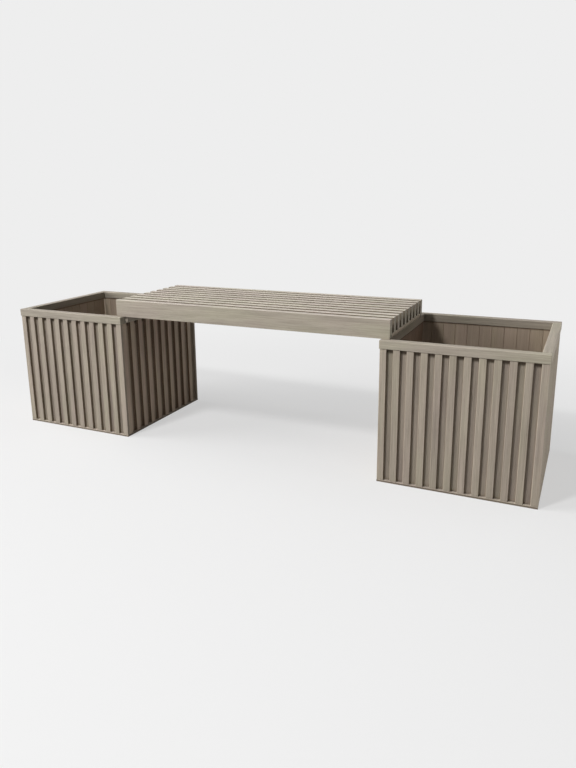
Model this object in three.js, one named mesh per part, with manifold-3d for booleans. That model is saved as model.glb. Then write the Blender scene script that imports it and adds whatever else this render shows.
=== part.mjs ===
// Garden bench with two planters: a slatted seat that rests on the rims of two square boarded boxes.
// Millimetres, +Z up. X runs along the bench and -Y is the front. The origin is on the ground,
// in the middle of the bench's length and of the planters' depth.

import * as THREE from "three";
import { mergeVertices } from "three/addons/utils/BufferGeometryUtils.js";
import Module from "manifold-3d";

// Bench and planters as a whole
const benchLength = 1696;
const planterWidth = 425;
const planterDepth = 438;
const planterHeight = 402;

// Joinery that all wooden pieces share
const fitGap = 0.3;
const woodEase = 1.2;

// Rim bars on top of each planter
const rimWidth = 23.5;
const rimHeight = 23.5;
const rimOverhang = 2;

// Walls: upright planks with battens on their outer side
const plankThickness = 10;
const battenThickness = 9;
const battenWidth = 18.5;
const battenEase = 1;
const battensAcrossFront = 12;
const battensAlongSide = 10;
const seamWidth = 1.8;
const seamDepth = 1;

// Thin rails under the walls
const baseHeight = 6;

// Floor inside each planter
const bearerWidth = 20;
const bearerHeight = 22;
const bearerRise = 12;
const boardThickness = 12;
const boardCount = 5;
const drainGap = 6;

// Seat slats, on edge
const slatCount = 10;
const slatThickness = 19;
const slatGap = 18;
const slatHeight = 53;
const seatOverlap = 25.5;
const seatSetback = 16;

// Rails that the slats are notched over
const railWidth = 38;
const railHeight = 11.5;

// Stop cleat under the seat's left end
const cleatWidth = 10.5;
const cleatHeight = 19;
const cleatSetback = 7.5;

// Screws that hold the end rails down on the rims
const shankDiameter = 4.5;
const headDiameter = 9;
const headHeight = 3;
const shankLength = 29;
const tipLength = 4;
const driveSize = 3;
const driveDepth = 1.6;
const screwSlotFromEdge = 2;
const screwSides = 12;
const cutOverrun = 1;

// A corner that turns by more than this is eased
const sharpTurn = Math.PI / 3;

// Lines that several pieces share, in the planter's own frame
const wallOuterX = planterWidth / 2 - rimOverhang;
const wallOuterY = planterDepth / 2 - rimOverhang;
const plankOuterX = wallOuterX - battenThickness;
const plankOuterY = wallOuterY - battenThickness;
const plankInnerX = plankOuterX - plankThickness;
const plankInnerY = plankOuterY - plankThickness;
const wallBottom = baseHeight + fitGap;
const wallTop = planterHeight - rimHeight - fitGap;
const boardBottom = bearerRise + bearerHeight + fitGap;

// Lines that the seat's pieces share, in the bench's frame
const innerRimX = benchLength / 2 - planterWidth;
const seatLength = 2 * (innerRimX + seatOverlap);
const slatPitch = slatThickness + slatGap;
const seatDepth = slatCount * slatPitch - slatGap;
const seatFront = seatSetback - planterDepth / 2;
const seatCentreY = seatFront + seatDepth / 2;
const seatBottom = planterHeight + fitGap;
const railLength = seatDepth - 2 * slatThickness - 2 * fitGap;
const endRailX = seatLength / 2 - railWidth / 2;
const screwX = innerRimX + rimWidth / 2;
const screwSeat = seatBottom + railHeight + fitGap;
const screwHoleRadius = shankDiameter / 2 + fitGap;
const screwHoleDepth = shankLength - (screwSeat - planterHeight) + fitGap;

const wasm = await Module();
wasm.setup();

const bench = new THREE.Group();

// Finishes

function weatheredWood(colour) {
  return new THREE.MeshStandardMaterial({ color: colour, roughness: 0.82, metalness: 0 });
}

const slatWood = weatheredWood("#aaa18f");
const rimWood = weatheredWood("#a79d8e");
const wallWood = weatheredWood("#a09686");
const innerWood = weatheredWood("#8b7f6e");
const screwSteel = new THREE.MeshStandardMaterial({ color: "#8f8f8c", roughness: 0.45, metalness: 1 });

// Shared shaping

// The outline with each sharp outward corner cut off at the given distance from it.
function easeCorners(points, ease) {
  const eased = [];
  points.forEach((corner, i) => {
    const before = points[(i + points.length - 1) % points.length];
    const after = points[(i + 1) % points.length];
    const comingIn = corner.clone().sub(before).normalize();
    const goingOut = after.clone().sub(corner).normalize();
    const turn = Math.atan2(comingIn.cross(goingOut), comingIn.dot(goingOut));
    if (turn < sharpTurn) {
      eased.push(corner);
      return;
    }
    eased.push(corner.clone().addScaledVector(comingIn, -ease));
    eased.push(corner.clone().addScaledVector(goingOut, ease));
  });
  return eased;
}

function outline(pairs) {
  return pairs.map(([a, b]) => new THREE.Vector2(a, b));
}

// An outline in X and Y, drawn anticlockwise, raised along Z with eased edges on both faces.
function easedPlate(points, thickness, ease) {
  return new THREE.ExtrudeGeometry(new THREE.Shape(easeCorners(points, ease)), {
    depth: thickness - 2 * ease,
    bevelThickness: ease,
    bevelSize: ease,
    bevelOffset: -ease,
    bevelSegments: 1,
  }).translate(0, 0, ease);
}

// A bar with all its edges eased, centred in X and Y and standing on Z = 0.
function bar(alongX, alongY, alongZ) {
  const x = alongX / 2;
  const y = alongY / 2;
  const section = outline([[-x, -y], [x, -y], [x, y], [-x, y]]);
  return easedPlate(section, alongZ, woodEase);
}

function place(name, geometry, material, x, y, z) {
  const mesh = new THREE.Mesh(geometry, material);
  mesh.name = name;
  mesh.position.set(x, y, z);
  return mesh;
}

function toSolid(geometry) {
  const bare = geometry.index ? geometry.toNonIndexed() : geometry.clone();
  bare.deleteAttribute("normal");
  bare.deleteAttribute("uv");
  const merged = mergeVertices(bare);
  return new wasm.Manifold(
    new wasm.Mesh({
      numProp: 3,
      vertProperties: merged.attributes.position.array,
      triVerts: new Uint32Array(merged.index.array),
    }),
  );
}

function toGeometry(solid) {
  const { vertProperties, triVerts } = solid.getMesh();
  const geometry = new THREE.BufferGeometry();
  geometry.setAttribute("position", new THREE.BufferAttribute(vertProperties, 3));
  geometry.setIndex(new THREE.BufferAttribute(triVerts, 1));
  return geometry;
}

// The screw holes in a bar that is centred on x = 0: down from its top, at the given places along Y.
function withScrewHoles(geometry, top, depth, x, places) {
  const cutHeight = depth + cutOverrun;
  let drilled = toSolid(geometry);
  for (const y of places) {
    const drill = new THREE.CylinderGeometry(screwHoleRadius, screwHoleRadius, cutHeight, screwSides)
      .rotateX(Math.PI / 2)
      .translate(x, y, top - depth + cutHeight / 2);
    drilled = drilled.subtract(toSolid(drill));
  }
  return toGeometry(drilled);
}

// Places along Y of the screws, in the middle of the slots between slats.
function screwPlaces() {
  const fromEdge = screwSlotFromEdge * slatPitch - slatGap / 2;
  return [seatFront + fromEdge, seatFront + seatDepth - fromEdge];
}

// Planter walls

// Plan outline of a wall: u runs along it and v outwards from the planks' inner faces.
// The inner side has a fine groove at each seam between planks, behind the middle of a batten,
// but none closer than a batten's width to the planks' ends.
function wallOutline(plankStart, plankEnd, battenStarts) {
  const outer = plankThickness + battenThickness;
  const middles = battenStarts.map((start) => start + battenWidth / 2);
  const seams = middles.filter((u) => u - battenWidth > plankStart && u + battenWidth < plankEnd);
  const points = [[plankStart, 0]];
  for (const seam of seams) {
    points.push([seam - seamWidth / 2, 0], [seam, seamDepth], [seam + seamWidth / 2, 0]);
  }
  points.push([plankEnd, 0], [plankEnd, plankThickness]);
  for (const start of [...battenStarts].reverse()) {
    const end = start + battenWidth;
    points.push([end, plankThickness], [end, outer], [start, outer], [start, plankThickness]);
  }
  points.push([plankStart, plankThickness]);
  return easeCorners(outline(points), battenEase);
}

function wall(points) {
  const shape = new THREE.Shape(points);
  return new THREE.ExtrudeGeometry(shape, { depth: wallTop - wallBottom, bevelEnabled: false });
}

// Front and back walls: the corner battens run out past the planks, over the side walls' battens.
function frontWallOutline() {
  const pitch = (2 * wallOuterX - battenWidth) / (battensAcrossFront - 1);
  const starts = Array.from({ length: battensAcrossFront }, (_, i) => i * pitch - wallOuterX);
  const plankEnd = plankOuterX - fitGap;
  return wallOutline(-plankEnd, plankEnd, starts);
}

// Side walls: the first batten stands behind the front corner batten and covers the front planks'
// ends, and the last bay is left open up to the back corner batten.
function sideWallOutline() {
  const pitch = (2 * plankOuterY) / battensAlongSide;
  const first = fitGap - plankOuterY;
  const starts = Array.from({ length: battensAlongSide }, (_, i) => i * pitch + first);
  const plankEnd = plankInnerY - fitGap;
  return wallOutline(-plankEnd, plankEnd, starts);
}

function planterWalls(side) {
  const across = frontWallOutline();
  const along = sideWallOutline();
  const front = across.map((p) => new THREE.Vector2(p.x, -plankInnerY - p.y));
  const back = across.map((p) => new THREE.Vector2(p.x, plankInnerY + p.y));
  const left = along.map((p) => new THREE.Vector2(-plankInnerX - p.y, p.x));
  const right = along.map((p) => new THREE.Vector2(plankInnerX + p.y, p.x));
  return [
    place(side + "_wall_front", wall(front), wallWood, 0, 0, wallBottom),
    place(side + "_wall_back", wall(back), wallWood, 0, 0, wallBottom),
    place(side + "_wall_left", wall(left), wallWood, 0, 0, wallBottom),
    place(side + "_wall_right", wall(right), wallWood, 0, 0, wallBottom),
  ];
}

// Planter rim: the front and back bars run the full width and the side bars sit between them.
function planterRim(side, seatSide) {
  const bottom = planterHeight - rimHeight;
  const x = (planterWidth - rimWidth) / 2;
  const y = (planterDepth - rimWidth) / 2;
  const sideLength = planterDepth - 2 * rimWidth - 2 * fitGap;
  const sideBar = bar(rimWidth, sideLength, rimHeight);
  const seatBar = withScrewHoles(sideBar, rimHeight, screwHoleDepth, 0, screwPlaces());
  const left = seatSide < 0 ? seatBar : sideBar;
  const right = seatSide > 0 ? seatBar : sideBar;
  return [
    place(side + "_rim_front", bar(planterWidth, rimWidth, rimHeight), rimWood, 0, -y, bottom),
    place(side + "_rim_back", bar(planterWidth, rimWidth, rimHeight), rimWood, 0, y, bottom),
    place(side + "_rim_left", left, rimWood, -x, 0, bottom),
    place(side + "_rim_right", right, rimWood, x, 0, bottom),
  ];
}

// Base: thin rails on the ground, flush with the battens, the side ones between the others.
function planterBase(side) {
  const width = plankThickness + battenThickness;
  const x = wallOuterX - width / 2;
  const y = wallOuterY - width / 2;
  const across = new THREE.BoxGeometry(2 * wallOuterX, width, baseHeight);
  const along = new THREE.BoxGeometry(width, 2 * (plankInnerY - fitGap), baseHeight);
  return [
    place(side + "_base_front", across, wallWood, 0, -y, baseHeight / 2),
    place(side + "_base_back", across, wallWood, 0, y, baseHeight / 2),
    place(side + "_base_left", along, wallWood, -x, 0, baseHeight / 2),
    place(side + "_base_right", along, wallWood, x, 0, baseHeight / 2),
  ];
}

// Floor: two bearers on the front and back walls, and boards from front to back with drain gaps.
function planterFloor(side) {
  const halfRoom = plankInnerX - fitGap;
  const bearer = bar(2 * halfRoom, bearerWidth, bearerHeight);
  const bearerY = plankInnerY - fitGap - bearerWidth / 2;
  const pitch = (2 * plankInnerX - drainGap) / boardCount;
  const board = bar(pitch - drainGap, 2 * (plankInnerY - fitGap), boardThickness);
  const pieces = [
    place(side + "_bearer_front", bearer, innerWood, 0, -bearerY, bearerRise),
    place(side + "_bearer_back", bearer, innerWood, 0, bearerY, bearerRise),
  ];
  for (let i = 0; i < boardCount; i += 1) {
    const x = (i - (boardCount - 1) / 2) * pitch;
    pieces.push(place(side + "_floor_board_" + (i + 1), board, innerWood, x, 0, boardBottom));
  }
  return pieces;
}

// One planter. The seat side is +1 where the seat rests on its right rim bar and -1 on its left.
function planter(side, seatSide) {
  const box = new THREE.Group();
  box.position.x = (-seatSide * (benchLength - planterWidth)) / 2;
  box.add(...planterRim(side, seatSide), ...planterWalls(side), ...planterBase(side), ...planterFloor(side));
  return box;
}

// Seat

// Side outline of an inner slat, in X and height: notched at the bottom over the three rails.
function notchedOutline() {
  const end = seatLength / 2;
  const shoulder = end - railWidth - fitGap;
  const middle = railWidth / 2 + fitGap;
  const notch = railHeight + fitGap;
  return outline([
    [-end, notch],
    [-shoulder, notch],
    [-shoulder, 0],
    [-middle, 0],
    [-middle, notch],
    [middle, notch],
    [middle, 0],
    [shoulder, 0],
    [shoulder, notch],
    [end, notch],
    [end, slatHeight],
    [-end, slatHeight],
  ]);
}

function seatSlats() {
  const end = seatLength / 2;
  const plain = outline([[-end, 0], [end, 0], [end, slatHeight], [-end, slatHeight]]);
  const slats = [];
  for (let i = 0; i < slatCount; i += 1) {
    const outermost = i === 0 || i === slatCount - 1;
    const slat = easedPlate(outermost ? plain : notchedOutline(), slatThickness, woodEase);
    slat.rotateX(Math.PI / 2);
    const number = String(i + 1).padStart(2, "0");
    const backFace = seatFront + i * slatPitch + slatThickness;
    slats.push(place("seat_slat_" + number, slat, slatWood, 0, backFace, seatBottom));
  }
  return slats;
}

// The end rails lie on the rims and the middle rail hangs between, all inside the outermost slats.
function seatRails() {
  const rail = bar(railWidth, railLength, railHeight);
  const fromRail = screwPlaces().map((y) => y - seatCentreY);
  const hole = screwX - endRailX;
  const leftEnd = withScrewHoles(rail, railHeight, railHeight + cutOverrun, -hole, fromRail);
  const rightEnd = withScrewHoles(rail, railHeight, railHeight + cutOverrun, hole, fromRail);
  return [
    place("seat_rail_left", leftEnd, slatWood, -endRailX, seatCentreY, seatBottom),
    place("seat_rail_middle", rail, slatWood, 0, seatCentreY, seatBottom),
    place("seat_rail_right", rightEnd, slatWood, endRailX, seatCentreY, seatBottom),
  ];
}

// The stop cleat keeps the seat from sliding along, against the left planter's rim.
function stopCleat() {
  const cleat = bar(cleatWidth, seatDepth - 2 * cleatSetback, cleatHeight);
  const x = fitGap + cleatWidth / 2 - innerRimX;
  return place("seat_stop_cleat", cleat, slatWood, x, seatCentreY, seatBottom - fitGap - cleatHeight);
}

// A pan-headed screw, point down, with the underside of its head at Z = 0.
function screwGeometry() {
  const shank = shankDiameter / 2;
  const head = headDiameter / 2;
  const profile = outline([
    [0, -shankLength],
    [shank, tipLength - shankLength],
    [shank, 0],
    [head, 0],
    [head, headHeight / 2],
    [(head + shank) / 2, headHeight],
    [0, headHeight],
  ]);
  const body = new THREE.LatheGeometry(profile, screwSides).rotateX(Math.PI / 2);
  const drive = new THREE.BoxGeometry(driveSize, driveSize, 2 * driveDepth);
  return toGeometry(toSolid(body).subtract(toSolid(drive.translate(0, 0, headHeight))));
}

function seatScrews() {
  const screw = screwGeometry();
  const [front, back] = screwPlaces();
  return [
    place("seat_screw_left_front", screw, screwSteel, -screwX, front, screwSeat),
    place("seat_screw_left_back", screw, screwSteel, -screwX, back, screwSeat),
    place("seat_screw_right_front", screw, screwSteel, screwX, front, screwSeat),
    place("seat_screw_right_back", screw, screwSteel, screwX, back, screwSeat),
  ];
}

bench.add(planter("left", 1), planter("right", -1));
bench.add(...seatSlats(), ...seatRails(), stopCleat(), ...seatScrews());

export default bench;
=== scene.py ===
import math
import random
from collections import namedtuple

import bpy
from mathutils import Euler, Matrix, Quaternion, Vector


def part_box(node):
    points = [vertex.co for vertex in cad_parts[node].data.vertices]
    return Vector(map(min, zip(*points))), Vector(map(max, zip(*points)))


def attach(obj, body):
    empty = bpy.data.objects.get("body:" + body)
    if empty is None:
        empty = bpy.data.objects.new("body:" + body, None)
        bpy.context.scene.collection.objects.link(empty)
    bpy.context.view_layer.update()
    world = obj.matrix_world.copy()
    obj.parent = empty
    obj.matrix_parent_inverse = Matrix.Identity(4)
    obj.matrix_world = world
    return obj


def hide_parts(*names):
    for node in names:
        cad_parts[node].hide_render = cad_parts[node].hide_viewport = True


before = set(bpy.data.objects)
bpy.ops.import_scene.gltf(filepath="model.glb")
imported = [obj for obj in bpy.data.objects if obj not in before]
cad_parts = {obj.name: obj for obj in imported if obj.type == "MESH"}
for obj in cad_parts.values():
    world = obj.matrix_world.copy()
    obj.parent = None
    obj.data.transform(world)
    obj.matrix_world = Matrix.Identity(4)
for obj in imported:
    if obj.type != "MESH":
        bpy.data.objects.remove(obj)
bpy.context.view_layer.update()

# The bench with its two planters, in metres. X runs along the bench and -Y is the front.
# X, Y and Z number a vector's parts.
X, Y, Z = 0, 1, 2

# Walls: upright planks with battens nailed over their seams
batten_width = 0.0185
batten_thickness = 0.009
plank_thickness = 0.010
plank_gap = 0.0004
same_width_digits = 5
battens_across = 12
battens_along = 10
corner_clearance = 0.0003

# Seat: the slats' notches over the rails
rail_clearance = 0.0003

# Rounding of the edges
slat_edge = 0.0012
rim_edge = 0.0018
batten_edge = 0.0012
plank_edge = 0.0007
board_segments = 3
wall_segments = 2
sharp_corner = math.radians(40)
flat_angle = math.radians(1)

# Patterns in the wood: their counts per metre along and across the grain, the noise's detail, and a shift
# that keeps one pattern from repeating another
Pattern = namedtuple("Pattern", "runs count detail shift")
fibre_pattern = Pattern(9, 420, 4, 0)
streak_pattern = Pattern(5, 90, 2, 3)
patch_pattern = Pattern(4, 14, 2, 7)
drift_pattern = Pattern(4, 17, 1, 13)
pore_pattern = Pattern(60, 1100, 1, 17)
ragged_pattern = Pattern(5, 160, 2, 23)
damp_pattern = Pattern(3, 12, 2, 31)
noise_roughness = 0.6
noise_middle = 0.5
seed_spread = (53, 29, 71)

# How strongly each pattern shows, and from which to which level of its noise a hue or a pore comes in
fibre_contrast = 0.85
streak_contrast = 0.45
patch_contrast = 0.22
board_contrast = 0.12
pore_contrast = 0.12
damp_contrast = 0.4
damp_least = 0.8
sage_share = 0.65
sage_levels = (0.40, 0.62)
rose_share = 0.4
rose_levels = (0.46, 0.68)
pore_levels = (0.30, 0.40)
inner_calm = 0.45

# Worn edges, paler as wear and as a painted highlight, and sawn ends, darker as end grain and on the seat
# also as painted shade
wear_and_highlight_reach = 0.0022
wear_and_highlight_ragged = 0.0014
wear_and_highlight = 0.16
sawn_start = 0.0002
sawn_end = 0.0016
seat_end_grain_and_shade = 0.42
sawn_dark = 0.06

# Gloss and relief of the wood
wood_roughness = 0.66
fibre_roughness = 0.22
pore_roughness = 0.05
wood_specular = 0.35
fibre_height = 0.6
streak_height = 0.5
pore_height = 0.5
relief_strength = 0.35
relief_depth = 0.0005

# Painted light and shade: highlight on upper faces; shade in gaps, beside battens, under the rim and the
# seat, and inside; darker at the foot; dark seams
top_light_reach = 0.0014
seat_top_light = 0.66
rim_top_light = 0.16
side_tolerance = 0.0001
beside_batten_shade = 0.0045
rim_shadow_reach = 0.016
rim_shadow_full = rim_shadow_reach / 3
foot_dark_reach = 0.012
darkening_ragged = 0.004
corner_depth = 0.45
seat_shade_reach = 0.006
seat_shade_depth = 0.85
seat_shade_inside = 0.7
rim_depth = 0.85
foot_depth = 0.30
batten_gap_depth = 0.7
under_seat_gap_depth = 1.0
rim_gap_depth = 1.0
slat_gap_depth = 0.8
side_bar_depth = 0.15
long_bar_depth = 0.10
seam_reach = 0.0018
seam_depth = 0.42
inner_rim_shadow_start = 0.002
inner_rim_shadow_end = 0.0055
inner_rim_shadow_depth = 0.7

# Wood that stays a CAD node: damp from 0, dry, to 1, soaked brown, and on the foot rails a painted top
# highlight and a painted contact shadow
rail_damp = 0.55
cleat_damp = 0.0
floor_damp = 0.6
base_damp = 0.1
base_top_light = 0.65
base_top_light_reach = 0.0006
contact_shadow_reach = 0.0055
contact_shadow_full = contact_shadow_reach * 0.6

# Screw steel
steel_scale = 900
steel_detail = 2
steel_roughness = 0.34
steel_roughness_drift = 0.2
steel_relief = 0.2
steel_relief_depth = 0.0001

# Camera, solved from the photograph's corners
picture_width_px = 576
picture_height_px = 768
focal_length_px = 669.12
principal_x_px = 277.80
principal_y_px = 352.73
film_size_mm = 36
camera_place = Vector((0.9191, -1.8857, 0.7998))
camera_heading = math.radians(25.402)
camera_drop = math.radians(13.992)
camera_roll = math.radians(-0.7415)

# Lamps: the azimuth is measured from the front, -Y, towards the left, -X, and the sizes are as seen from
# the bench. A strength is the light that a surface square to the lamp gets.
Lamp = namedtuple("Lamp", "azimuth height width tall strength distance")
key_lamp = Lamp(math.radians(20.8), math.radians(48.3), math.radians(8), math.radians(8), 1.52, 5.0)
low_window = Lamp(math.radians(65), math.radians(15), math.radians(30), math.radians(30), 2.75, 13)
right_lamp = Lamp(math.radians(-90), math.radians(2.9), math.radians(2), math.radians(2), 1.08, 6)
Sky = namedtuple("Sky", "azimuth height size strength")
left_wall = Sky(math.radians(90), math.radians(20), math.radians(40), 1.66)
ceiling = Sky(math.radians(0), math.radians(90), math.radians(60), 0.36)
right_corner = Sky(math.radians(-135), math.radians(35), math.radians(50), 0.25)
front_right = Sky(math.radians(-45), math.radians(30), math.radians(40), 0.18)

# Floor and backdrop
backdrop_grey = 0.855
floor_grey = 0.753
floor_bounce = 0.45
floor_glow = 0.93
floor_glow_share = 0.54
floor_size = 60
floor_middle = (0.15, -0.35, 0)
floor_near = 0.9
floor_far = 2.4

first_draw = 11
draw = random.Random(first_draw)

Board = namedtuple("Board", "place half seed")


# Shader nodes

class Wire:
    """A number on a node tree. Sums written with it add Math nodes."""

    def __init__(self, nodes, socket):
        self.nodes = nodes
        self.socket = socket

    def sum(self, operation, *others):
        inputs = dict(enumerate((self, *others)))
        return self.nodes.number("Math", {"operation": operation}, inputs)

    def __add__(self, other):
        return self.sum("ADD", other)

    def __radd__(self, other):
        return self.sum("ADD", other)

    def __sub__(self, other):
        return self.sum("SUBTRACT", other)

    def __rsub__(self, other):
        return (self * -1) + other

    def __mul__(self, other):
        return self.sum("MULTIPLY", other)

    def __rmul__(self, other):
        return self.sum("MULTIPLY", other)

    def __abs__(self):
        return self.sum("ABSOLUTE")

    def smaller(self, other):
        return self.sum("MINIMUM", other)

    def larger(self, other):
        return self.sum("MAXIMUM", other)


class Nodes:
    """The nodes of a material or of the world."""

    def __init__(self, owner):
        owner.use_nodes = True
        self.tree = owner.node_tree
        self.tree.nodes.clear()

    def node(self, kind, settings=None, inputs=None):
        node = self.tree.nodes.new("ShaderNode" + kind)
        for name, value in (settings or {}).items():
            setattr(node, name, value)
        for name, value in (inputs or {}).items():
            if isinstance(value, Wire):
                value = value.socket
            if isinstance(value, bpy.types.NodeSocket):
                self.tree.links.new(value, node.inputs[name])
            else:
                node.inputs[name].default_value = value
        return node

    def number(self, kind, settings=None, inputs=None, output=0):
        return Wire(self, self.node(kind, settings, inputs).outputs[output])

    def vector(self, x, y, z):
        return self.node("CombineXYZ", None, {"X": x, "Y": y, "Z": z}).outputs["Vector"]

    def split(self, vector):
        parts = self.node("SeparateXYZ", None, {"Vector": vector}).outputs
        return [Wire(self, parts[axis]) for axis in "XYZ"]

    def object_place(self):
        return self.node("TexCoord").outputs["Object"]

    def between(self, value, low, high):
        """0 where the value is at low or under, 1 where it is at high or over, and smooth between."""
        settings = {"interpolation_type": "SMOOTHSTEP"}
        ends = {"Value": value, "From Min": low, "From Max": high}
        return self.number("MapRange", settings, ends)

    def colours(self, amount, first, second, way="MIX"):
        """Mixes two colours. The node's sockets go by number here, because several have the same name."""
        settings = {"data_type": "RGBA", "blend_type": way}
        return self.node("Mix", settings, {0: amount, 6: first, 7: second}).outputs[2]


class Finish(Nodes):
    """A material and its nodes."""

    def __init__(self, name):
        self.material = bpy.data.materials.new(name)
        super().__init__(self.material)

    def relief(self, strength, depth, height):
        bump = self.node("Bump", None, {"Strength": strength, "Distance": depth, "Height": height})
        return bump.outputs["Normal"]

    def principled(self, sockets):
        return self.surface(self.node("BsdfPrincipled", None, sockets).outputs["BSDF"])

    def surface(self, shader):
        self.node("OutputMaterial", None, {"Surface": shader})
        return self.material


def paint(red, green, blue):
    """A colour written as on a paint card, 0 to 255, for a shader socket."""
    # The standard curve from a screen's values to light
    def linear(part):
        part = part / 255
        return part / 12.92 if part <= 0.04045 else ((part + 0.055) / 1.055) ** 2.4
    return (linear(red), linear(green), linear(blue), 1.0)


# Stains, each multiplied over the wood's own colour
# Damp on the CAD wood; on the planks, painted shade beside the battens and darkening at the foot
damp_and_shade_brown = (0.62, 0.56, 0.47, 1.0)
# Painted shade on the planks' inner faces
inside_shade_brown = (0.91, 0.85, 0.80, 1.0)
# Painted shade on sides facing a neighbour and on rim inner faces, a painted shadow line under the rim
# inside, and dark seams between inner planks
gap_shade_and_seam_brown = (0.40, 0.35, 0.29, 1.0)
# Painted shade for the walls under the seat
seat_shade_brown = (0.42, 0.37, 0.33, 1.0)
# Painted contact shadow along the bottom of the foot rails
contact_shadow_grey = (0.50, 0.47, 0.44, 1.0)
rim_shade = (0.30, 0.26, 0.21, 1.0)
# Painted highlight, brighter than the wood, for upper faces
top_light_white = (1.92, 1.98, 2.15, 1.0)

# Wood: beige, with drifts of sage and of rose
seat_colours = (paint(160, 151, 137), paint(155, 149, 131), paint(160, 146, 137))
rim_colours = (paint(160, 151, 137), paint(155, 149, 131), paint(159, 147, 137))
batten_colours = (paint(158, 147, 133), paint(154, 146, 128), paint(158, 143, 133))
plank_colours = (paint(168, 156, 142), paint(164, 155, 137), paint(168, 152, 143))
# Walls under the seat: lighter, redder copies of the wall colours, painted light and shade that set their
# level there
under_seat_batten_colours = (paint(187, 168, 151), paint(183, 168, 147), paint(187, 165, 151))
shaded_colours = (paint(171, 154, 138), paint(167, 153, 134), paint(171, 152, 138))
inner_colours = (paint(136, 124, 108), paint(131, 121, 103), paint(136, 119, 108))

# Steel
steel_dark = paint(120, 120, 118)
steel_light = paint(168, 168, 164)


# Weathered wood

def grain(finish, board, pattern):
    """Noise drawn out along the board."""
    u, v, w = board.place
    seed = board.seed + pattern.shift
    spread_u, spread_v, spread_w = seed_spread
    spot = finish.vector(
        u * pattern.runs + seed * spread_u,
        v * pattern.count + seed * spread_v,
        w * pattern.count + seed * spread_w,
    )
    inputs = {"Vector": spot, "Scale": 1, "Detail": pattern.detail, "Roughness": noise_roughness}
    return finish.number("TexNoise", {"noise_dimensions": "3D"}, inputs)


def edge_wear_and_highlight(finish, board, fibres):
    """1 on the board's long edges, for wear and a painted highlight, ragged by its fibres, and 0 away from
    them.
    """
    v, w = board.place[1:]
    half_v, half_w = board.half[1:]
    to_edge = (half_v - abs(v)).larger(half_w - abs(w))
    return 1 - finish.between(to_edge + (fibres - noise_middle) * wear_and_highlight_ragged, 0.0, wear_and_highlight_reach)


def drifting_hue(finish, colours, patches, drift):
    """Beige that drifts to sage in the patches and to rose in the drift."""
    beige, sage, rose = colours
    hue = finish.colours(finish.between(patches, *sage_levels) * sage_share, beige, sage)
    return finish.colours(finish.between(drift, *rose_levels) * rose_share, hue, rose)


def weathered_wood(finish, board, colours, stains=(), sawn_depth=sawn_dark, calm=0.0):
    """Sun-greyed wood: fibres, pores, drifting hues, edges paler as wear and as a painted highlight,
    darker sawn ends, and stains and painted light and shade on top. Calm, from 0 to 1, takes the contrast
    out of the fibres."""
    fibres = grain(finish, board, fibre_pattern)
    streaks = grain(finish, board, streak_pattern)
    patches = grain(finish, board, patch_pattern)
    drift = grain(finish, board, drift_pattern)
    pores = grain(finish, board, pore_pattern)
    hue = drifting_hue(finish, colours, patches, drift)

    stripes = (fibres - noise_middle) * fibre_contrast + (streaks - noise_middle) * streak_contrast
    shade = 1 + stripes * (1 - calm)
    shade = shade + (patches - noise_middle) * patch_contrast
    shade = shade + (board.seed - noise_middle) * board_contrast
    pore_marks = 1 - finish.between(pores, *pore_levels)
    shade = shade - pore_marks * pore_contrast
    worn_and_lit = edge_wear_and_highlight(finish, board, fibres)
    sawn = 1 - finish.between(board.half[0] - abs(board.place[0]), sawn_start, sawn_end)
    # Edges paler as wear and as a painted highlight; sawn ends darker as end grain, and on the seat also
    # as painted shade
    shade = shade + worn_and_lit * wear_and_highlight - sawn * sawn_depth

    light = finish.vector(shade, shade, shade)
    colour = finish.colours(1.0, hue, light, "MULTIPLY")
    for amount, tint in stains:
        colour = finish.colours(amount, colour, tint, "MULTIPLY")
    height = fibres * fibre_height + streaks * streak_height - pore_marks * pore_height
    return finish.principled({
        "Base Color": colour,
        "Roughness": wood_roughness + (1 - fibres) * fibre_roughness + pore_marks * pore_roughness,
        "Normal": finish.relief(relief_strength, relief_depth, height),
        "Specular IOR Level": wood_specular,
    })


def carried_number(finish, attribute):
    """A number that a new board's points carry."""
    return finish.number("Attribute", {"attribute_name": attribute}, None, "Fac")


def carried_board(finish):
    """The grain place, half sizes and seed that a new board's points carry."""
    def vector(attribute):
        return finish.split(finish.node("Attribute", {"attribute_name": attribute}).outputs["Vector"])
    return Board(vector("grain_place"), vector("board_half"), carried_number(finish, "board_seed"))


def boxed_board(finish, node, along):
    """The same for a CAD board, from its own box. Along is the axis that the grain runs on."""
    low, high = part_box(node)
    centre = (low + high) / 2
    mapping = {"Vector": finish.object_place(), "Location": -centre}
    parts = finish.split(finish.node("Mapping", None, mapping).outputs["Vector"])
    order = [along, (along + 1) % 3, (along + 2) % 3]
    seed = finish.number("Value")
    seed.socket.default_value = draw.random()
    return Board([parts[axis] for axis in order], [(high[axis] - low[axis]) / 2 for axis in order], seed)


def top_lit_wood(name, colours, top_light, gap_depth, sawn_depth):
    """Boards of the seat and the rims: upper faces get a painted highlight, and the sides in the gaps
    painted shade.
    """
    finish = Finish(name)
    board = carried_board(finish)
    # Painted highlight on the upper faces
    top = finish.between(board.place[2], board.half[2] - top_light_reach, board.half[2])
    in_gap = carried_number(finish, "in_gap")
    stains = [(top * top_light, top_light_white), (in_gap * gap_depth, gap_shade_and_seam_brown)]
    return weathered_wood(finish, board, colours, stains, sawn_depth)


def batten_wood(name, colours, gap_depth):
    """Battens: the sides that face another batten get painted shade."""
    finish = Finish(name)
    in_gap = carried_number(finish, "in_gap")
    return weathered_wood(finish, carried_board(finish), colours, [(in_gap * gap_depth, gap_shade_and_seam_brown)])


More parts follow.
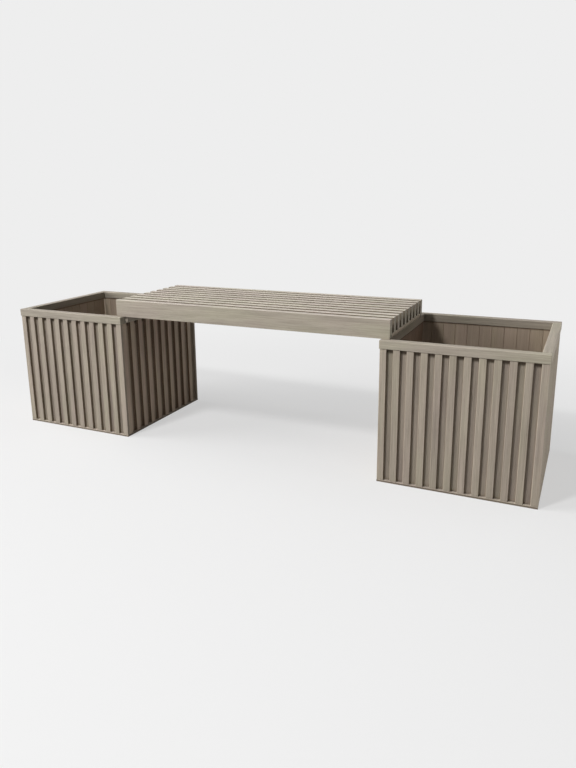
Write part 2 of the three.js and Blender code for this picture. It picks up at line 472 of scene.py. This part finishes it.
def plank_wood(name, colours, seat_shade):
    """Wall planks: painted shade along the battens, a painted shadow under the rim, darker towards the
    foot, and painted shade on the inner face, with dark seams and a painted shadow line under the rim
    inside. The last argument is 1 for the walls under the seat, which get more painted shade along the
    battens and inside."""
    finish = Finish(name)
    board = carried_board(finish)
    u, v = board.place[:2]
    half_u, half_v = board.half[:2]
    ragged = (grain(finish, board, ragged_pattern) - noise_middle) * darkening_ragged
    to_batten = half_v - batten_width / 2 - abs(v) + ragged
    # Painted shade beside each batten
    corner = 1 - finish.between(to_batten, 0.0, beside_batten_shade + seat_shade * seat_shade_reach)
    # Painted shadow of the rim
    under_rim = 1 - finish.between(half_u - u + ragged, rim_shadow_full, rim_shadow_reach)
    # Darker towards the foot
    at_foot = 1 - finish.between(half_u + u + ragged, 0.0, foot_dark_reach)
    batten_shade_and_foot = (corner * (corner_depth + seat_shade * seat_shade_depth) + at_foot * foot_depth).smaller(1.0)
    seam = (1 - finish.between(half_v - abs(v), 0.0, seam_reach)) * seam_depth
    # Painted shadow line under the rim, inside
    inner_rim_shadow = (1 - finish.between(half_u - u, inner_rim_shadow_start, inner_rim_shadow_end)) * inner_rim_shadow_depth
    indoors = carried_number(finish, "indoors")
    outdoors = 1 - indoors
    # Painted shade beside the battens and darker at the foot, painted rim shadow, painted shade inside,
    # and dark seams with a painted shadow line
    return weathered_wood(finish, board, colours, [
        (outdoors * batten_shade_and_foot, seat_shade_brown if seat_shade else damp_and_shade_brown),
        (outdoors * under_rim * rim_depth, rim_shade),
        (indoors, inside_shade_brown),
        (indoors * seat_shade * seat_shade_inside, seat_shade_brown),
        (indoors * seam.larger(inner_rim_shadow), gap_shade_and_seam_brown),
    ], calm=indoors * inner_calm)


def node_wood(node, along, colours, damp):
    """A CAD board's own wood, with damp from 0, dry, to 1, soaked brown."""
    finish = Finish("wood_" + node)
    board = boxed_board(finish, node, along)
    clouds = grain(finish, board, damp_pattern) * damp_contrast + damp_least
    return weathered_wood(finish, board, colours, [(clouds * damp, damp_and_shade_brown)])


def base_wood(node, along, colours, top_light):
    """The battens' foot rail: its top face gets a painted highlight between them, and a painted contact
    shadow runs along the ground.
    """
    finish = Finish("wood_" + node)
    board = boxed_board(finish, node, along)
    height = finish.split(finish.object_place())[2]
    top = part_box(node)[1].z
    # Painted highlight on the top face, and painted contact shadow at the bottom
    lit_top = finish.between(height, top - base_top_light_reach, top)
    contact_shadow = 1 - finish.between(height, contact_shadow_full, contact_shadow_reach)
    stains = [(base_damp, damp_and_shade_brown), (contact_shadow, contact_shadow_grey), (lit_top * top_light, top_light_white)]
    return weathered_wood(finish, board, colours, stains)


def screw_steel():
    """Dull zinc-plated steel with fine turning marks."""
    finish = Finish("screw_steel")
    noise = {"Vector": finish.object_place(), "Scale": steel_scale, "Detail": steel_detail}
    cloud = finish.number("TexNoise", None, noise)
    return finish.principled({
        "Base Color": finish.colours(cloud, steel_dark, steel_light),
        "Metallic": 1.0,
        "Roughness": steel_roughness + cloud * steel_roughness_drift,
        "Normal": finish.relief(steel_relief, steel_relief_depth, cloud),
    })


# Boards

def new_block(name, size):
    """A block centred on the origin, still selected and active."""
    bpy.ops.object.select_all(action="DESELECT")
    bpy.ops.mesh.primitive_cube_add(size=1, scale=size)
    bpy.ops.object.transform_apply(location=False, rotation=False, scale=True)
    block = bpy.context.active_object
    block.name = name
    block.data.name = name
    return block


def round_edges(block, radius, segments):
    """Rounds every edge of the active block and leaves its flat faces flat."""
    bpy.ops.object.shade_smooth()
    bevel = block.modifiers.new("Round", "BEVEL")
    bevel.width = radius
    bevel.segments = segments
    bevel.limit_method = "ANGLE"
    bevel.angle_limit = sharp_corner
    bevel.harden_normals = True
    bpy.ops.object.modifier_apply(modifier=bevel.name)


def mark_grain(mesh, size, order):
    """Writes each point's place in its centred board: along the grain, across it and through the board."""
    places = []
    halves = []
    for vertex in mesh.vertices:
        places.extend(vertex.co[axis] for axis in order)
        halves.extend(size[axis] / 2 for axis in order)
    mesh.attributes.new("grain_place", "FLOAT_VECTOR", "POINT").data.foreach_set("vector", places)
    mesh.attributes.new("board_half", "FLOAT_VECTOR", "POINT").data.foreach_set("vector", halves)
    mesh.attributes.new("board_seed", "FLOAT", "POINT")


def set_seed(mesh):
    """Gives a board its own place in the wood's patterns."""
    seed = draw.random()
    mesh.attributes["board_seed"].data.foreach_set("value", [seed] * len(mesh.vertices))


def mark_gaps(mesh, across, middle, half, open_side, depth=1.0):
    """Painted shade on a board's sides that face a neighbour. The side open_side, -1 or 1, lies free."""
    marks = []
    for vertex in mesh.vertices:
        beside = vertex.co[across] - middle
        on_side = abs(beside) > half - side_tolerance
        marks.append(depth if on_side and beside * open_side <= 0 else 0.0)
    mesh.attributes.new("in_gap", "FLOAT", "POINT").data.foreach_set("value", marks)


def mark_indoors(mesh, through, middle, outward):
    """1 on a plank's points that face into the planter, 0 on the others."""
    inside = [float((vertex.co[through] - middle) * outward < 0) for vertex in mesh.vertices]
    mesh.attributes.new("indoors", "FLOAT", "POINT").data.foreach_set("value", inside)


def finished_board(name, size, order, radius, segments):
    """A rounded board, centred on the origin. Its order is the axes along the grain, across, through."""
    board = new_block(name, size)
    round_edges(board, radius, segments)
    mark_grain(board.data, size, order)
    return board


def hand_over(piece, material, node):
    """Gives a finished piece its wood and its body, and hides the CAD node that it stands for."""
    piece.data.materials.clear()
    piece.data.materials.append(material)
    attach(piece, "root")
    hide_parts(node)


def copy_board(pattern, name, shift):
    """A copy of a board with its own mesh and its own place in the wood's patterns."""
    copy = pattern.copy()
    copy.data = pattern.data.copy()
    copy.name = name
    copy.data.name = name
    bpy.context.scene.collection.objects.link(copy)
    copy.data.transform(Matrix.Translation(shift))
    set_seed(copy.data)
    return copy


def joined(boards, name):
    bpy.ops.object.select_all(action="DESELECT")
    for board in boards:
        board.select_set(True)
    bpy.context.view_layer.objects.active = boards[0]
    bpy.ops.object.join()
    boards[0].name = name
    boards[0].data.name = name
    return boards[0]


def board_in_place(name, node, order, radius, material):
    """A rounded board that fills a CAD board's box."""
    low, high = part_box(node)
    size = high - low
    board = finished_board(name, size, order, radius, board_segments)
    board.data.transform(Matrix.Translation((low + high) / 2))
    set_seed(board.data)
    hand_over(board, material, node)
    return board


# Planters

def runs_along(face):
    return X if face in ("front", "back") else Y


def outward_sign(face):
    return 1 if face in ("back", "right") else -1


def placed(runs, along, across, height):
    """A point or a size, from its part along the wall, its part through the wall and its height."""
    vector = Vector((0, 0, height))
    vector[runs] = along
    vector[1 - runs] = across
    return vector


def plank_extent(runs):
    """Half length of a wall's run of planks, from the CAD boxes of the left planter's walls."""
    if runs == Y:
        low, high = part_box("left_wall_back")
        return low.y - corner_clearance
    low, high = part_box("left_wall_front")
    return (high.x - low.x) / 2 - batten_thickness - corner_clearance


def batten_places(low, high, runs):
    """Left edges of the battens along the wall. A side wall's last bay is open up to the corner."""
    if runs == X:
        pitch = (high.x - low.x - batten_width) / (battens_across - 1)
        return [low.x + i * pitch for i in range(battens_across)]
    reach = plank_extent(runs) + corner_clearance + plank_thickness
    pitch = 2 * reach / battens_along
    return [corner_clearance - reach + i * pitch for i in range(battens_along)]


def plank_edges(centre, runs, starts):
    """Where the planks of a wall begin and end: at the ends of the run, and behind the middle of each
    batten that isn't close to an end. Known fault: the box of a side wall takes in its first batten, so
    its centre, and with it the whole run of planks, lies 5 mm too far forward."""
    extent = plank_extent(runs)
    first = centre[runs] - extent
    last = centre[runs] + extent
    seams = [start + batten_width / 2 for start in starts]
    return [first, *(s for s in seams if s - batten_width > first and s + batten_width < last), last]


def wall_battens(side, face, starts, centre, through_middle, pattern, finish):
    """The battens of one wall. At the corners of the front and back walls their outer sides lie free."""
    runs = runs_along(face)
    battens = []
    for i, start in enumerate(starts):
        middle = start + batten_width / 2
        shift = placed(runs, middle, through_middle, centre.z)
        batten = copy_board(pattern, f"{side}_{face}_batten_{i}", shift)
        corner = -1 if i == 0 else 1 if i == len(starts) - 1 else 0
        mark_gaps(batten.data, runs, middle, batten_width / 2, corner if runs == X else 0)
        battens.append(batten)
    piece = joined(battens, f"{side}_{face}_battens")
    hand_over(piece, finish, f"{side}_wall_{face}")


def wall_planks(side, face, starts, centre, through_middle, height, patterns, finish):
    """The planks of one wall. Planks of the same width are copies of one pattern."""
    runs = runs_along(face)
    edges = plank_edges(centre, runs, starts)
    planks = []
    for i, (start, end) in enumerate(zip(edges, edges[1:])):
        width = end - start - plank_gap
        key = (runs, round(width, same_width_digits))
        if key not in patterns:
            size = placed(runs, width, plank_thickness, height)
            order = (Z, runs, 1 - runs)
            patterns[key] = finished_board("plank_pattern", size, order, plank_edge, wall_segments)
        shift = placed(runs, (start + end) / 2, through_middle, centre.z)
        planks.append(copy_board(patterns[key], f"{side}_{face}_plank_{i}", shift))
    piece = joined(planks, f"{side}_{face}_planks")
    mark_indoors(piece.data, 1 - runs, through_middle, outward_sign(face))
    hand_over(piece, finish, f"{side}_wall_{face}")


def planter_wall(side, face, batten_pattern, plank_patterns, batten_finish, plank_finish):
    low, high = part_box(f"{side}_wall_{face}")
    centre = (low + high) / 2
    runs = runs_along(face)
    outward = outward_sign(face)
    outer = high[1 - runs] if outward > 0 else low[1 - runs]
    batten_middle = outer - outward * batten_thickness / 2
    plank_middle = outer - outward * (batten_thickness + plank_thickness / 2)
    starts = batten_places(low, high, runs)
    wall_battens(side, face, starts, centre, batten_middle, batten_pattern, batten_finish)
    height = high.z - low.z
    wall_planks(side, face, starts, centre, plank_middle, height, plank_patterns, plank_finish)


def planter_walls(batten_finish, plank_finish, under_seat_battens, under_seat_planks):
    low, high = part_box("left_wall_front")
    height = high.z - low.z
    across = Vector((batten_width, batten_thickness, height))
    along = Vector((batten_thickness, batten_width, height))
    batten_patterns = {
        X: finished_board("batten_across", across, (Z, X, Y), batten_edge, wall_segments),
        Y: finished_board("batten_along", along, (Z, Y, X), batten_edge, wall_segments),
    }
    plank_patterns = {}
    for side in ("left", "right"):
        for face in ("front", "back", "left", "right"):
            runs = runs_along(face)
            under_seat = runs == Y and face != side
            # Walls under the seat get lighter battens and more painted shade
            battens_look = under_seat_battens if under_seat else batten_finish
            planks_look = under_seat_planks if under_seat else plank_finish
            planter_wall(side, face, batten_patterns[runs], plank_patterns, battens_look, planks_look)
    for pattern in (*batten_patterns.values(), *plank_patterns.values()):
        bpy.data.objects.remove(pattern)


def planter_rims(material):
    for side in ("left", "right"):
        for face in ("front", "back", "left", "right"):
            runs = runs_along(face)
            through = 1 - runs
            node = f"{side}_rim_{face}"
            name = f"{side}_{face}_rim_bar"
            bar = board_in_place(name, node, (runs, through, Z), rim_edge, material)
            low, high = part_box(node)
            middle = (low[through] + high[through]) / 2
            half = (high[through] - low[through]) / 2
            # Painted shade on the bar's inner face
            depth = side_bar_depth if runs == Y else long_bar_depth
            mark_gaps(bar.data, through, middle, half, outward_sign(face), depth)


# Seat

def cut_sheet(size, cuts, notch_top):
    """Stretches the active upright sheet to size, and cuts it at the notches' sides and at their top."""
    bpy.ops.object.mode_set(mode="EDIT")
    bpy.ops.transform.resize(value=(size.x, 1, size.z))
    for x in cuts:
        bpy.ops.mesh.select_all(action="SELECT")
        bpy.ops.mesh.bisect(plane_co=(x, 0, 0), plane_no=(1, 0, 0))
    bpy.ops.mesh.select_all(action="SELECT")
    bpy.ops.mesh.bisect(plane_co=(0, 0, notch_top), plane_no=(0, 0, 1))
    bpy.ops.mesh.select_all(action="DESELECT")
    bpy.ops.object.mode_set(mode="OBJECT")


def open_notches(slat, notches, notch_top):
    """Deletes the sheet's faces in the notches, merges the rest into one and stays in edit mode.
    Known fault: the legs between the notches are deleted too. In vertex mode, the switch to edit mode
    selects each face whose corners are all selected. Face mode, set before cut_sheet leaves edit mode,
    should keep them."""
    for face in slat.data.polygons:
        inside = any(start < face.center.x < end for start, end in notches)
        face.select = inside and face.center.z < notch_top
    bpy.ops.object.mode_set(mode="EDIT")
    bpy.ops.mesh.select_mode(type="FACE")
    bpy.ops.mesh.delete(type="FACE")
    bpy.ops.mesh.select_all(action="SELECT")
    bpy.ops.mesh.dissolve_limited(angle_limit=flat_angle)


def thicken_sheet(thickness):
    """Extrudes the sheet in edit mode along Y, to both sides alike, and leaves edit mode."""
    bpy.ops.mesh.select_all(action="SELECT")
    bpy.ops.mesh.extrude_region_move(TRANSFORM_OT_translate={"value": (0, thickness, 0)})
    bpy.ops.mesh.select_all(action="SELECT")
    bpy.ops.transform.translate(value=(0, -thickness / 2, 0))
    bpy.ops.mesh.normals_make_consistent(inside=False)
    bpy.ops.object.mode_set(mode="OBJECT")


def inner_slat_pattern():
    """An inner slat, on edge, placed as if its CAD slat were centred on the origin. It was meant to have
    three notches for the rails, but it ends at their top all along, 12 mm above the CAD slat's foot: see
    open_notches."""
    low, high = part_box("seat_slat_02")
    size = high - low
    centre = (low + high) / 2
    rails = [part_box(f"seat_rail_{name}") for name in ("left", "middle", "right")]
    notch_top = rails[0][1].z + rail_clearance - centre.z
    notches = [(r_low.x - rail_clearance, r_high.x + rail_clearance) for r_low, r_high in rails]
    cuts = [x for notch in notches for x in notch if abs(x) < size.x / 2 - rail_clearance]

    bpy.ops.object.select_all(action="DESELECT")
    bpy.ops.mesh.primitive_plane_add(size=1, rotation=(math.pi / 2, 0, 0))
    bpy.ops.object.transform_apply(location=False, rotation=True, scale=False)
    slat = bpy.context.active_object
    cut_sheet(size, cuts, notch_top)
    open_notches(slat, notches, notch_top)
    thicken_sheet(size.y)
    round_edges(slat, slat_edge, board_segments)
    mark_grain(slat.data, size, (X, Y, Z))
    return slat


def seat_slats(finish):
    """The outer two slats fill their CAD boxes, and the others are copies of the inner one."""
    nodes = sorted(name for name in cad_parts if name.startswith("seat_slat_"))
    pattern = inner_slat_pattern()
    for node in nodes:
        open_side = -1 if node == nodes[0] else 1 if node == nodes[-1] else 0
        name = "slat_" + node[-2:]
        low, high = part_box(node)
        if open_side:
            slat = board_in_place(name, node, (X, Y, Z), slat_edge, finish)
        else:
            slat = copy_board(pattern, name, (low + high) / 2)
            hand_over(slat, finish, node)
        mark_gaps(slat.data, Y, (low.y + high.y) / 2, (high.y - low.y) / 2, open_side)
    bpy.data.objects.remove(pattern)


# CAD nodes that stay

def dress_node(node, material):
    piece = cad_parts[node]
    piece.data.materials.clear()
    piece.data.materials.append(material)


def dress_wooden_nodes(seat, wall, inside):
    for node in sorted(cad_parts):
        if node.startswith("seat_rail_"):
            dress_node(node, node_wood(node, Y, seat, rail_damp))
        elif node == "seat_stop_cleat":
            dress_node(node, node_wood(node, Y, seat, cleat_damp))
        elif "_base_" in node:
            side, face = node.split("_base_")
            runs = runs_along(face)
            under_seat = runs == Y and face != side
            # Foot rails under the seat get no painted top highlight
            dress_node(node, base_wood(node, runs, wall, 0.0 if under_seat else base_top_light))
        elif "_bearer_" in node:
            dress_node(node, node_wood(node, X, inside, floor_damp))
        elif "_floor_board_" in node:
            dress_node(node, node_wood(node, Y, inside, floor_damp))


def dress_screws():
    steel = screw_steel()
    for node in sorted(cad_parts):
        if node.startswith("seat_screw_"):
            dress_node(node, steel)


# Studio

def photograph_camera():
    data = bpy.data.cameras.new("photograph_camera")
    data.sensor_width = film_size_mm
    data.lens = focal_length_px / picture_height_px * film_size_mm
    data.shift_x = (picture_width_px / 2 - principal_x_px) / picture_height_px
    data.shift_y = (principal_y_px - picture_height_px / 2) / picture_height_px
    data.clip_end = floor_size
    camera = bpy.data.objects.new("photograph_camera", data)
    bpy.context.scene.collection.objects.link(camera)
    level = Euler((math.pi / 2 - camera_drop, 0, camera_heading)).to_quaternion()
    turn = level @ Quaternion((0, 0, 1), camera_roll)
    camera.matrix_world = Matrix.Translation(camera_place) @ turn.to_matrix().to_4x4()
    bpy.context.scene.camera = camera


def direction(lamp):
    """From the bench towards a lamp."""
    return Vector((
        -math.sin(lamp.azimuth) * math.cos(lamp.height),
        -math.cos(lamp.azimuth) * math.cos(lamp.height),
        math.sin(lamp.height),
    ))


def hang(name, data, lamp):
    """Turns a lamp towards the bench."""
    light = bpy.data.objects.new(name, data)
    bpy.context.scene.collection.objects.link(light)
    light.rotation_mode = "QUATERNION"
    light.rotation_quaternion = direction(lamp).to_track_quat("Z", "Y")
    light.visible_camera = False
    return light


def soft_sky(name, sky):
    """A round patch of even light, far away."""
    data = bpy.data.lights.new(name, "SUN")
    data.angle = sky.size
    data.energy = sky.strength
    hang(name, data, sky)


def soft_window(name, lamp):
    """A lamp near enough for its light to fade across the bench."""
    data = bpy.data.lights.new(name, "AREA")
    data.shape = "ELLIPSE"
    data.size = 2 * lamp.distance * math.tan(lamp.width / 2)
    data.size_y = 2 * lamp.distance * math.tan(lamp.tall / 2)
    data.energy = lamp.strength * math.pi * lamp.distance ** 2
    hang(name, data, lamp).location = direction(lamp) * lamp.distance


def grey(tone):
    return (tone, tone, tone, 1.0)


def seen_directly(nodes):
    """1 for rays from the camera and for what shines or shows through, 0 for light that bounces."""
    rays = nodes.node("LightPath").outputs
    seen = Wire(nodes, rays["Is Camera Ray"])
    for ray in ("Is Glossy Ray", "Is Transmission Ray"):
        seen = seen.larger(rays[ray])
    return seen


def studio_room():
    """No light of its own: only the backdrop's grey where the camera sees past the floor."""
    world = bpy.data.worlds.new("studio_room")
    bpy.context.scene.world = world
    nodes = Nodes(world)
    sockets = {"Color": grey(backdrop_grey), "Strength": seen_directly(nodes)}
    nodes.node("OutputWorld", None, {"Surface": nodes.node("Background", None, sockets).outputs[0]})


def floor_finish():
    """Part of the floor's tone is a glow that only the camera sees, so that shadows stay as pale on it as
    in the photograph, and it bounces little light. With distance it runs into the backdrop's grey."""
    finish = Finish("studio_floor")
    seen = seen_directly(finish)
    distance = {0: finish.object_place(), 1: floor_middle}
    radius = finish.number("VectorMath", {"operation": "DISTANCE"}, distance, "Value")
    far = finish.between(radius, floor_near, floor_far)
    tone = finish.colours(seen, grey(floor_bounce), grey(floor_grey))
    matt = finish.node("BsdfDiffuse", None, {"Color": tone}).outputs[0]
    glow = finish.node("Emission", None, {"Color": grey(floor_glow)}).outputs[0]
    distant = finish.node("Emission", None, {"Color": grey(backdrop_grey)}).outputs[0]
    near = finish.node("MixShader", None, {0: seen * floor_glow_share, 1: matt, 2: glow}).outputs[0]
    return finish.surface(finish.node("MixShader", None, {0: far * seen, 1: near, 2: distant}).outputs[0])


def studio_floor():
    bpy.ops.object.select_all(action="DESELECT")
    bpy.ops.mesh.primitive_plane_add(size=floor_size)
    floor = bpy.context.active_object
    floor.name = "studio_floor"
    floor.data.materials.append(floor_finish())


photograph_camera()
soft_window("key_lamp", key_lamp)
soft_window("low_window", low_window)
soft_window("right_lamp", right_lamp)
soft_sky("left_wall", left_wall)
soft_sky("ceiling", ceiling)
soft_sky("right_corner", right_corner)
soft_sky("front_right", front_right)
studio_room()
studio_floor()

seat_slats(top_lit_wood("seat_wood", seat_colours, seat_top_light, slat_gap_depth, seat_end_grain_and_shade))
planter_rims(top_lit_wood("rim_wood", rim_colours, rim_top_light, rim_gap_depth, sawn_dark))
planter_walls(
    batten_wood("batten_wood", batten_colours, batten_gap_depth),
    plank_wood("plank_wood", plank_colours, 0),
    batten_wood("under_seat_batten_wood", under_seat_batten_colours, under_seat_gap_depth),
    plank_wood("under_seat_plank_wood", shaded_colours, 1),
)
dress_wooden_nodes(seat_colours, batten_colours, inner_colours)
dress_screws()

bpy.context.scene.view_settings.view_transform = "Standard"
bpy.context.view_layer.update()
